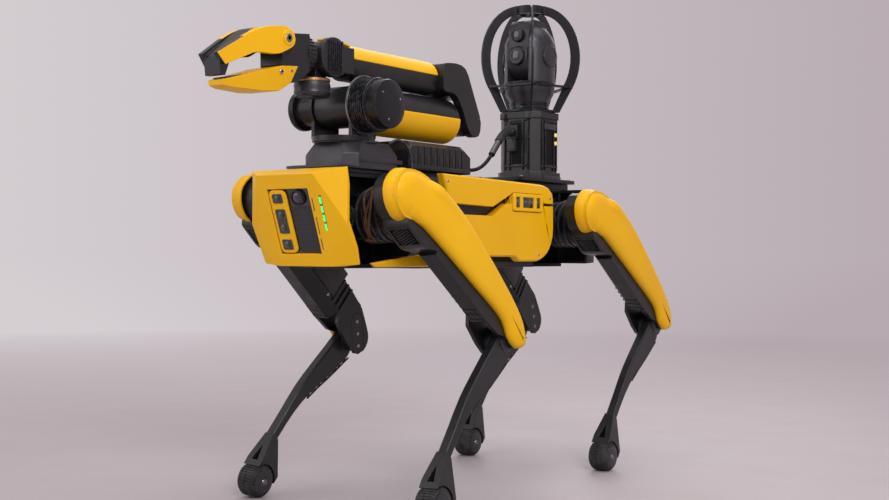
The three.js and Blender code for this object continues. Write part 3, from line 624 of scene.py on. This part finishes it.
def thigh_details(tag, place):
    louvres = Drawing(place)
    for k in range(8):
        z = -21 + 5.2 * k
        turn = Matrix.Translation((48.5, -8, z)) @ Matrix.Rotation(math.radians(24), 4, "X")
        louvres.block((-2.2, -18, -1.1), (2.4, 18, 1.1), 0.5, turn)
    louvres.block((46, -29, 17.5), (51.5, 13, 20), 0.6)
    louvres.block((46, -29, -24), (51.5, 13, -21.5), 0.6)
    for z in (-207, -221, -235):                # ribs of the grille above the knee
        louvres.block((41, -14, z - 2), (44.2, 17, z + 2), 0.7)
        louvres.block((-27, -37, z - 2), (24, -33.5, z + 2), 0.7)
    for y in (-14, -4, 6, 15):
        louvres.block((41, y, -236), (43.8, y + 2.2, -206), 0.6)
    louvres.block((-40, -36, -205), (18, -33, -100), 1.2)
    louvres.piece(f"thigh_ribs_{tag}", f"thigh_{tag}", BLACK)
    screws = Drawing(place)
    for x, z in ((-44, -60), (-36, -150), (40, -60), (38, -190)):
        screws.screw((x * 0.6, -34, z), (0, -1, 0), 3.0, 1.4)
    for x, z in ((6, -292), (36, -328), (21, -310)):
        screws.screw((x, -34, z), (0, -1, 0), 3.4, 1.2)
    for k in range(6):
        a = math.radians(60 * k + 15)
        screws.screw((32 * math.cos(a), -34, 32 * math.sin(a)), (0, -1, 0), 2.2, 1.2)
    screws.piece(f"thigh_screws_{tag}", f"thigh_{tag}", STEEL)


def hip_details(tag, place):
    ahead = 1 if "front" in tag else -1
    rings = Drawing(place)
    for y in (16, 30, 44, 58):
        rings.turned([(44, -2.2), (46.4, -1.4), (46.4, 1.4), (44, 2.2), (44, -2.2)],
                     (0, y, 0), (0, 1, 0), 56)
    rings.piece(f"hip_rings_{tag}", f"hip_{tag}", SATIN)
    cap = Drawing(place)
    cap.turned([(38.2, -3), (38.2, 1.4), (36.8, 2.6), (33.4, 2.6), (32.6, 1.2), (32.6, -3), (38.2, -3)],
               (ahead * 18, 0, 0), (ahead, 0, 0), 64)
    cap.piece(f"roll_motor_ring_{tag}", f"hip_{tag}", GREY)
    wires = Drawing(place)
    for k, (r, shift) in enumerate(((48.5, 0), (49.5, 5), (48.8, -5))):
        path = [(ahead * r * math.cos(a), 40 + shift + 6 * math.sin(3 * a + k), r * math.sin(a))
                for a in (math.radians(-60 + 12 * i) for i in range(13))]
        inwards = [(ahead * 30, 26 + shift, -40), *path, (-ahead * 4, 26 + shift, 43)]
        wires.tube(inwards, 2.1, 8, 3)
    wires.piece(f"hip_wires_{tag}", f"hip_{tag}", COPPER)


def shank_details(tag, place):
    ribs = Drawing(place)
    spine = [(-24, -30), (-16, -62), (-8, -92), (2, -124), (10, -156)]
    for (xa, za), (xb, zb) in zip(spine, spine[1:]):
        for y in (-10.5, 5.5):
            middle = ((xa + xb) / 2 - 3, -2.5, (za + zb) / 2)
            ribs.tube([(xa - 2, y, za), middle, (xb - 2, y, zb)], 1.5, 6, 1)
            ribs.tube([(xa - 2, y, za), (xb - 2, y, zb)], 1.7, 6, 1)
    ribs.piece(f"shank_lattice_{tag}", f"shank_{tag}", BLACK)
    hub = Drawing(place)
    for y, axis in ((8, 1), (-25, -1)):
        hub.turned([(20, 0), (20, 1.2), (17, 2), (9, 2), (8, 1.2), (0, 1.2)], (0, y, 0), (0, axis, 0), 40)
    for y, axis in ((18, 1), (-22, -1)):
        hub.turned([(21, -0.5), (21, 0.8), (19, 1.8), (8, 1.8), (7.2, 0.9), (0, 0.9)],
                   (0, y, -SHANK), (0, axis, 0), 36)
    hub.piece(f"shank_caps_{tag}", f"shank_{tag}", SATIN)
    pins = Drawing(place)
    for y, axis in ((18.9, 1), (-22.9, -1)):
        pins.screw((0, y, -SHANK), (0, axis, 0), 4.2, 1.4)
    pins.piece(f"foot_screws_{tag}", f"shank_{tag}", STEEL)
    tread = Drawing(place)
    teeth = 36
    ring = []
    for k in range(teeth):
        for share, r in ((0.0, FOOT_R), (0.62, FOOT_R), (0.7, FOOT_R - 1.3), (0.92, FOOT_R - 1.3)):
            a = 2 * math.pi * (k + share) / teeth
            ring.append((math.sin(a) * r, math.cos(a) * r))
    loops = []
    for y, k in ((-22, 0.62), (-22, 0.8), (-19, 0.92), (-15, 1.0), (-2.8, 1.0), (-2.6, 0.955), (-1.4, 0.955),
                 (-1.2, 1.0), (11, 1.0), (15, 0.92), (18, 0.8), (18, 0.62)):
        loops.append([(x * k, y, z * k - SHANK) for x, z in ring])
    tread.loft(loops)
    tread.piece(f"foot_tread_{tag}", f"shank_{tag}", RUBBER, [f"foot_{tag}"], crease=25)


for tag in TAGS:
    hip_place, thigh_place, shank_place = leg_frames(tag)
    thigh_cover(tag, thigh_place)
    thigh_details(tag, thigh_place)
    hip_details(tag, hip_place)
    shank_details(tag, shank_place)


# ---- Face -------------------------------------------------------------------------------------
def make_face():
    bezel = Drawing(FACE)
    windows = ((30, 46), (-22, 20), (-50, -32))
    outer = round_box(-44, -8, -56, 52, 9)
    bezel.plate(outer, 5.2, lambda u, v, w: (w - 5.7, u, v), 1.2)
    bezel.piece("sensor_bezel_frame", "body", YELLOW, ["face_sensor_bezel"])
    wells = Drawing(FACE)
    for v0, v1 in windows:
        wells.plate(round_box(-37, -15, v0, v1, 3.2), 1.0, lambda u, v, w: (w - 0.4, u, v), 0.3)
    for v0, v1 in ((46, 24), (14, -16), (-22, -42)):
        wells.plate(round_box(48.5, 50.5, v1 - 8, v0 - 8, 0.9), 1.0, lambda u, v, w: (w - 0.8, u, v), 0.2)
    wells.piece("sensor_windows", "body", WINDOW)
    lenses = Drawing(FACE)
    for v in (38, 10, -12, -41):
        lenses.turned([(5.6, 0), (5.6, 1.0), (4.6, 1.5), (4.4, 1.1), (3.2, 1.8), (1.6, 2.2), (0, 2.3)],
                      (0.4, -26, v), (1, 0, 0), 28)
    lenses.piece("sensor_lenses", "body", SENSOR)
    grid = Drawing(FACE)
    grid.plate(round_box(-5, 42, -55, 22, 2), 1.2, lambda u, v, w: (w - 6.4, u, v), 0.3)
    grid.piece("perforated_panel", "body", GRID)
    eye = Drawing(FACE)
    eye.turned([(13.5, -1), (13.5, 1.6), (12.6, 2.4), (10.2, 2.4), (9.6, 0.6)],
               (-2.6, 16, 38), (1, 0, 0), 44)
    eye.piece("face_camera_ring", "body", METAL)
    glass = Drawing(FACE)
    glass.turned([(9.8, 0), (8.2, 1.4), (5.6, 2.5), (2.8, 3.1), (0, 3.3)], (-2.2, 16, 38), (1, 0, 0), 36)
    glass.piece("face_camera_glass", "body", LENS)
    lights = Drawing(FACE)
    for k in range(4):
        v = -12 + 15 * k
        lights.plate(round_box(63.8, 67.2, v - 5.6, v + 5.6, 1.5), 1.2, lambda u, v, w: (w - 1.6, u, v), 0.3)
    lights.piece("status_segments", "body", GLOW)


make_face()


# ---- Body -------------------------------------------------------------------------------------
def make_body():
    caps = Drawing(BODY)
    for ahead in (1, -1):
        for side in (1, -1):
            caps.turned([(17, -1), (17, 2), (15.5, 3), (6, 3), (5, 1.4), (0, 1.4)],
                        (ahead * 353, side * HIP_Y, 0), (ahead, 0, 0), 40)
    caps.piece("roll_axis_caps", "body", METAL)
    windows = Drawing(BODY)
    for side in (1, -1):
        for a, b in ((-66, -80), (-90, -128), (-138, -152)):
            low, high = sorted((side * 117.0, side * 119.6))
            windows.block((b + 0.5, low, 27.5), (a - 0.5, high, 46.5), 0.9)
    windows.piece("side_windows", "body", WINDOW)
    optics = Drawing(BODY)
    for side in (1, -1):
        for x in (-73, -101, -118, -145):
            optics.turned([(5, 0), (4.4, 0.8), (2.4, 1.4), (0, 1.6)],
                          (x, side * 119.2, 37), (0, side, 0), 24)
    optics.piece("side_lenses", "body", SENSOR)
    screws = Drawing(BODY)
    for side in (1, -1):
        for x, z in ((150, 66), (-190, 48), (-150, -62), (60, -72), (300, -80)):
            depth = 104 if x == 300 else 118
            screws.screw((x, side * depth, z), (0, side, 0), 2.6, 0.8)
        for x in (-360, -260, -120, 0, 120):
            screws.screw((x, side * 34, 80.2), (0, 0, 1), 2.6, 1.6)
    screws.piece("panel_screws", "body", STEEL)
    belly = Drawing(BODY)
    for k in range(9):
        x = -160 + 40 * k
        belly.block((x - 12, -66, -87.2), (x + 12, 66, -85.6), 0.6)
    for side in (1, -1):
        belly.block((-186, side * 80.5 - 1.5, -82), (186, side * 80.5 + 1.5, -72), 0.8)
    belly.piece("battery_ribs", "body", BLACK)
    deck = Drawing(BODY)
    for x in range(-160, 150, 34):
        deck.block((x, -22, 73.4), (x + 22, 22, 75.6), 0.7)
    deck.block((-176, -70, 73.2), (150, -66, 76.4), 0.9)
    deck.block((-176, 66, 73.2), (150, 70, 76.4), 0.9)
    deck.piece("deck_ribs", "body", BLACK)
    rear = Drawing(BODY)
    for k in range(7):
        z = -44 + 7 * k
        rear.block((-425.6, -52, z), (-423, 52, z + 3.2), 0.7)
    for y in (-30, 30):
        rear.turned([(15, -1), (15, 1.2), (14, 2), (11.6, 2), (11.2, 0.6), (11.2, -1), (15, -1)],
                    (-424, y, 22), (-1, 0, 0), 40)
    rear.piece("rear_grille", "body", SATIN)


make_body()


# ---- Arm --------------------------------------------------------------------------------------
def make_arm():
    axis_at = (ARM_X, 0, ARM_Z)
    left = Drawing(BODY)
    profile = [(0, 45.8), (49.6, 45.8), (50.4, 46.6), (50.4, 49.6), (49.4, 50.6), (46.5, 51)]
    for k in range(6):
        y = 53 + 4.2 * k
        profile += [(46.5, y), (46.5, y + 2.2), (43.2, y + 2.6), (43.2, y + 3.8)]
    profile += [(45.5, 78.6), (44.6, 80.2), (41.2, 81.4), (41.2, 99), (40.2, 101.4), (37.5, 103),
                (20, 103.8), (0, 104)]
    left.turned(profile, axis_at, (0, 1, 0), 72)
    left.piece("shoulder_drum_left", "arm_turret", METAL, ["shoulder_motor_left"])
    right = Drawing(BODY)
    profile = [(0, 45.8), (28, 45.8), (28, 82.5), (30, 84), (35.4, 86), (36, 88), (36, 94.6), (34.6, 97.4),
               (31, 99.6), (18, 100), (0, 100)]
    right.turned(profile, axis_at, (0, -1, 0), 64)
    right.piece("shoulder_drum_right", "arm_turret", METAL, ["shoulder_motor_right"])
    bright = Drawing(BODY)
    bright.turned([(50.8, 46.8), (51.2, 48), (50.8, 49.4), (49.6, 49.6), (49.6, 46.6), (50.8, 46.8)],
                  axis_at, (0, 1, 0), 72)
    for k in range(3):
        a = math.radians(120 * k + 40)
        bright.screw((ARM_X + 27 * math.cos(a), 103.2, ARM_Z + 27 * math.sin(a)), (0, 1, 0), 2.0, 0.7)
        bright.screw((ARM_X + 25 * math.cos(a), -99.6, ARM_Z + 25 * math.sin(a)), (0, -1, 0), 2.4, 0.8)
    bright.piece("shoulder_trim", "arm_turret", GREY)
    base = Drawing(BODY)
    base.turned([(50, -1), (56, 0), (56.6, 2.4), (55, 4), (50, 4)], (ARM_X - 10, 0, 126), (0, 0, 1), 60)
    for k in range(8):
        a = math.radians(45 * k + 22)
        base.screw((ARM_X - 21 + 46 * math.cos(a), 44 * math.sin(a), 126.4), (0, 0, 1), 2.4, 1.0)
    base.block((206, 58.8, 92), (320, 61.4, 100), 1.0)
    base.block((206, -61.4, 92), (320, -58.8, 100), 1.0)
    base.piece("arm_base_trim", "body", SATIN)
    wrist = Drawing(BODY)
    for side in (1, -1):
        for k in range(7):
            x = WRIST_X - 15 + 5 * k
            low, high = sorted((side * 35, side * 38.6))
            wrist.block((x - 1.1, low, FORE_Z - 25), (x + 1.1, high, FORE_Z + 25), 0.6)
        low, high = sorted((side * 35, side * 37.4))
        wrist.block((WRIST_X - 20, low, FORE_Z + 24), (WRIST_X + 19, high, FORE_Z + 28), 0.8)
        wrist.block((WRIST_X - 20, low, FORE_Z - 28), (WRIST_X + 19, high, FORE_Z - 24), 0.8)
    wrist.piece("wrist_fins", "forearm", METAL)
    collar = Drawing(BODY)
    for k in range(30):
        turn = Matrix.Translation((0, 0, FORE_Z)) @ Matrix.Rotation(math.radians(12 * k), 4, "X")
        collar.block((398, 32, -1.5), (412, 34.4, 1.5), 0.5, turn)
    collar.piece("wrist_collar_ribs", "gripper", BLACK)
    drum = Drawing(BODY)
    at = (WRIST_X + 16, 0, 0)
    drum.turned([(0, 196.6), (24, 196.6), (28, 198.4), (30.6, 204), (29.6, 210), (30.8, 216), (29, 221.4),
                 (0, 221.4)], at, (0, 0, 1), 56)
    drum.piece("wrist_motor_shell", "wrist", SATIN)
    band = Drawing(BODY)
    band.turned([(29.2, 222), (30, 223), (30, 226.4), (29.2, 227.4), (29.2, 222)], at, (0, 0, 1), 56)
    band.piece("wrist_copper_band", "wrist", BRASS)
    grip = Drawing(BODY)
    for side in (1, -1):
        grip.screw((WRIST_X + 117.5, side * 42.6, FORE_Z + 14.8), (0, side, 0), 7.0, 1.4)
    grip.piece("jaw_pivot_screws", "jaw", GREY)
    lower = Drawing(BODY)
    for side in (1, -1):
        lower.screw((485, side * 37.6, 224), (0, side, 0), 4.0, 1.2)
        lower.screw((462, side * 37.4, 228), (0, side, 0), 3.0, 1.0)
    lower.piece("lower_jaw_screws", "gripper", STEEL)
    elbow = Drawing(BODY)
    for side in (1, -1):
        for x, z in ((-46, 176), (-54, 196), (8, 246), (44, 246), (44, 280)):
            elbow.screw((x, side * 42, z), (0, side, 0), 2.0, 0.5)
    elbow.piece("elbow_screws", "elbow", METAL)


make_arm()


# ---- Camera payload ---------------------------------------------------------------------------
def make_cable_sleeves():
    boot = Drawing(BODY)
    boot.tube([(-243, -10, 190), (-230, -10, 189), (-212, -9, 180), (-196, -8, 166)], 8.2, 20, 6)
    boot.piece("cable_boot", "body", RUBBER)
    wrap = Drawing(BODY)
    wrap.tube([(-196, -8, 166), (-190, -7, 160), (-178, -6, 149), (-166, -4, 138)], 6.6, 20, 6)
    wrap.piece("cable_wrap", "body", TAPE)
    ends = Drawing(BODY)
    for radius, x0, x1 in ((10, -247, -239), (7.4, -14, 1.6)):
        y, z = (-10, 190) if x0 < -100 else (8, 100)
        long = x1 - x0
        profile = [(0, 0), (radius - 1, 0), (radius, 1), (radius, long - 1), (radius - 1, long), (0, long)]
        ends.turned(profile, (x0, y, z), (1, 0, 0), 24)
    ends.piece("cable_glands", "body", METAL)


def make_case_details():
    d = Drawing(BODY)
    for k in range(8):
        x = 30 + 19 * k
        d.block((x + 5.5, 60, 98), (x + 13, 63, 116), 0.8)
        d.block((x + 5.5, -63, 98), (x + 13, -60, 116), 0.8)
    d.block((10, -46, 136), (182, 46, 138.4), 1.2)
    d.block((4, -64, 87), (188, -61, 95), 1.0)
    d.block((4, 61, 87), (188, 64, 95), 1.0)
    d.piece("case_ribs", "body", BLACK)
    lead = Drawing(BODY)
    lead.tube([(246, 62, 126), (228, 66, 134), (208, 69, 128), (196, 70, 110), (192, 70, 92),
               (192, 68, 80)], 2.4)
    lead.piece("arm_lead", "body", SATIN)


make_cable_sleeves()
make_case_details()


def make_payload():
    tower = Drawing(BODY)
    for side in range(4):
        turn = Matrix.Translation((MAST_X, 0, 0)) @ Matrix.Rotation(math.radians(90 * side), 4, "Z")
        for y in (-28, -16, 16, 28):
            tower.block((47, y - 1.6, 112), (50.6, y + 1.6, 214), 0.7, turn)
        for z in (120, 214):
            tower.block((46, -31, z - 2), (50.4, 31, z + 2), 0.8, turn)
    tower.piece("tower_fins", "body", METAL)
    # Painted shade: a matte near-black sheet between the middle fins on each side stands for the shade in
    # the tower's recess.
    recess = Drawing(BODY)
    for side in range(4):
        turn = Matrix.Translation((MAST_X, 0, 0)) @ Matrix.Rotation(math.radians(90 * side), 4, "Z")
        recess.block((46.6, -12, 124), (48.6, 12, 210), 0.5, turn)
    recess.piece("tower_recess_shade", "body", RECESS_SHADE)
    fasteners = Drawing(BODY)
    for k in range(8):
        a = math.radians(45 * k + 22.5)
        fasteners.screw((MAST_X + 50 * math.cos(a), 50 * math.sin(a), 107.6), (0, 0, 1), 2.6, 1.6)
    for x in (-376, -192):
        for y in (-50, 50):
            fasteners.screw((x, y, 94), (0, 0, 1), 3.6, 2.2)
    fasteners.piece("payload_screws", "body", BRASS)
    lights = Drawing(BODY)
    for z in (186, 169):
        lights.turned([(4.2, 0), (4.2, 1.6), (3.2, 2.6), (0, 3.2)], (MAST_X - 22, 50, z), (0, 1, 0), 24)
    lights.piece("tower_lights", "body", AMBER)
    blocks = Drawing(BODY)
    blocks.block((MAST_X + 48, -18, 150), (MAST_X + 58, 2, 176), 1.2)
    blocks.block((MAST_X - 24, 47, 196), (MAST_X + 20, 51, 208), 1.0)
    for side in (1, -1):
        blocks.block((MAST_X - 34, side * 50 - 7, 94), (MAST_X + 34, side * 50 + 7, 100), 1.2)
        blocks.block((MAST_X + 40, side * 30 - 5, 216), (MAST_X + 56, side * 30 + 5, 230), 1.2)
        blocks.block((MAST_X - 56, side * 30 - 5, 216), (MAST_X - 40, side * 30 + 5, 230), 1.2)
    blocks.piece("tower_blocks", "body", SATIN)
    bowl = Drawing(BODY)
    bowl.turned([(40, 236), (41, 238), (41, 242), (39.6, 243), (39.6, 246), (41.4, 247), (41.8, 252),
                 (40, 253), (40, 236)], (MAST_X, 0, 0), (0, 0, 1), 64)
    bowl.turned([(52, 290), (53.2, 291), (53.2, 294), (52, 295), (52, 290)], (MAST_X, 0, 0), (0, 0, 1), 64)
    bowl.piece("pan_rings", "camera_yoke", METAL)
    caps = Drawing(BODY)
    for side in (1, -1):
        caps.turned([(24, -3), (24, 0.6), (22.6, 1.6), (18, 2), (17, 1.2), (0, 1.6)],
                    (MAST_X, side * 51.4, TILT_Z), (0, side, 0), 48)
        for k in range(4):
            a = math.radians(90 * k + 45)
            at = (MAST_X + 36 * math.cos(a) * 0.8, side * 44, TILT_Z + 36 * math.sin(a))
            caps.screw(at, (0, side, 0), 2.0, 4.4)
    caps.piece("camera_side_caps", "camera_yoke", SATIN)
    barrels = Drawing(BODY)
    barrels.turned([(20, 36), (20, 50), (18.6, 52.6), (16.2, 53.6), (15.4, 51)],
                   (MAST_X, 0, TILT_Z), (1, 0, 0), 52)
    barrels.turned([(14.6, 34), (14.6, 48), (13.4, 50.6), (11.4, 51.2), (10.8, 49)],
                   (MAST_X, 0, TILT_Z + 43), (1, 0, 0), 48)
    barrels.piece("camera_barrels", "camera_head", METAL)
    glass = Drawing(BODY)
    glass.turned([(15.6, 51.2), (13, 52.6), (9, 53.8), (4.6, 54.6), (0, 54.9)],
                 (MAST_X, 0, TILT_Z), (1, 0, 0), 44)
    glass.turned([(11, 49.2), (9, 50.4), (5.6, 51.2), (0, 51.7)], (MAST_X, 0, TILT_Z + 43), (1, 0, 0), 40)
    glass.piece("camera_lenses", "camera_head", LENS)


make_payload()


# ---- Studio -----------------------------------------------------------------------------------
BRIGHT = (0.67, 0.62, 0.645)       # backdrop on the lit side, and its dimmer other side
DIM = (0.47, 0.405, 0.435)
ACROSS = (-0.589, 0.808, 0.0)      # from the lit side to the dim side


def backdrop_painted_falloff(n, place):
    """Painted light on the backdrop: its slow change of brightness across the studio, from the lit side to
    the dim side.
    """
    unit = n.add("ShaderNodeVectorMath", operation="NORMALIZE")
    n.link(place, unit.inputs[0])
    dot = n.add("ShaderNodeVectorMath", operation="DOT_PRODUCT")
    dot.inputs[1].default_value = ACROSS
    n.link(unit.outputs["Vector"], dot.inputs[0])
    return n.mix(n.spread(dot.outputs["Value"], 0, 1, -0.38, 0.38), BRIGHT, DIM)


def floor_material():
    """Pale paper that runs into the backdrop's painted light falloff further out."""
    n = Nodes("studio_floor")
    cloud = n.spread(n.noise(1.6, 3.0), 0, 1)
    n.use("Base Color", n.mix(cloud, (0.40, 0.355, 0.372), (0.42, 0.375, 0.392)))
    n.use("Roughness", n.spread(n.noise(8.0, 4.0), 0.5, 0.6))
    n.use("Normal", n.bump(n.noise(300.0, 2.0), 0.05, 0.0005))
    glow = n.add("ShaderNodeEmission")
    n.link(backdrop_painted_falloff(n, n.place), glow.inputs["Color"])
    length = n.add("ShaderNodeVectorMath", operation="LENGTH")
    n.link(n.place, length.inputs[0])
    blend = n.add("ShaderNodeMixShader")
    n.link(n.spread(length.outputs["Value"], 0, 1, 1.2, 5.0), blend.inputs[0])
    n.link(n.shader.outputs[0], blend.inputs[1])
    n.link(glow.outputs[0], blend.inputs[2])
    n.link(blend.outputs[0], n.tree.nodes["Material Output"].inputs["Surface"])
    return n.material


class WorldNodes(Nodes):
    """The same wiring for the world, which has no shader of its own to set."""

    def __init__(self, world):
        self.tree = world.node_tree
        self.place = self.add("ShaderNodeTexCoord").outputs["Generated"]


def make_studio():
    mesh = bpy.data.meshes.new("floor")
    reach = 60
    mesh.from_pydata([(-reach, -reach, 0), (reach, -reach, 0), (reach, reach, 0), (-reach, reach, 0)],
                     [], [(0, 1, 2, 3)])
    mesh.materials.append(floor_material())
    floor = bpy.data.objects.new("floor", mesh)
    bpy.context.scene.collection.objects.link(floor)
    world = bpy.data.worlds.new("studio")
    bpy.context.scene.world = world
    world.use_nodes = True
    n = WorldNodes(world)
    # The world background shows the same painted light falloff.
    n.link(backdrop_painted_falloff(n, n.place), world.node_tree.nodes["Background"].inputs["Color"])
    for name, at, size, power in (("key", (2.6, 3.6, 3.0), 1.8, 120), ("fill", (3.6, -2.6, 2.0), 3.0, 30),
                                  ("top", (-0.2, 0.6, 3.6), 2.6, 45), ("back", (-3.4, -1.4, 2.6), 2.4, 40)):
        data = bpy.data.lights.new(name, "AREA")
        data.size = size
        data.energy = power
        light = bpy.data.objects.new(name, data)
        light.location = at
        light.rotation_euler = (Vector((0, 0, 0.5)) - Vector(at)).to_track_quat("-Z", "Y").to_euler()
        bpy.context.scene.collection.objects.link(light)


make_studio()
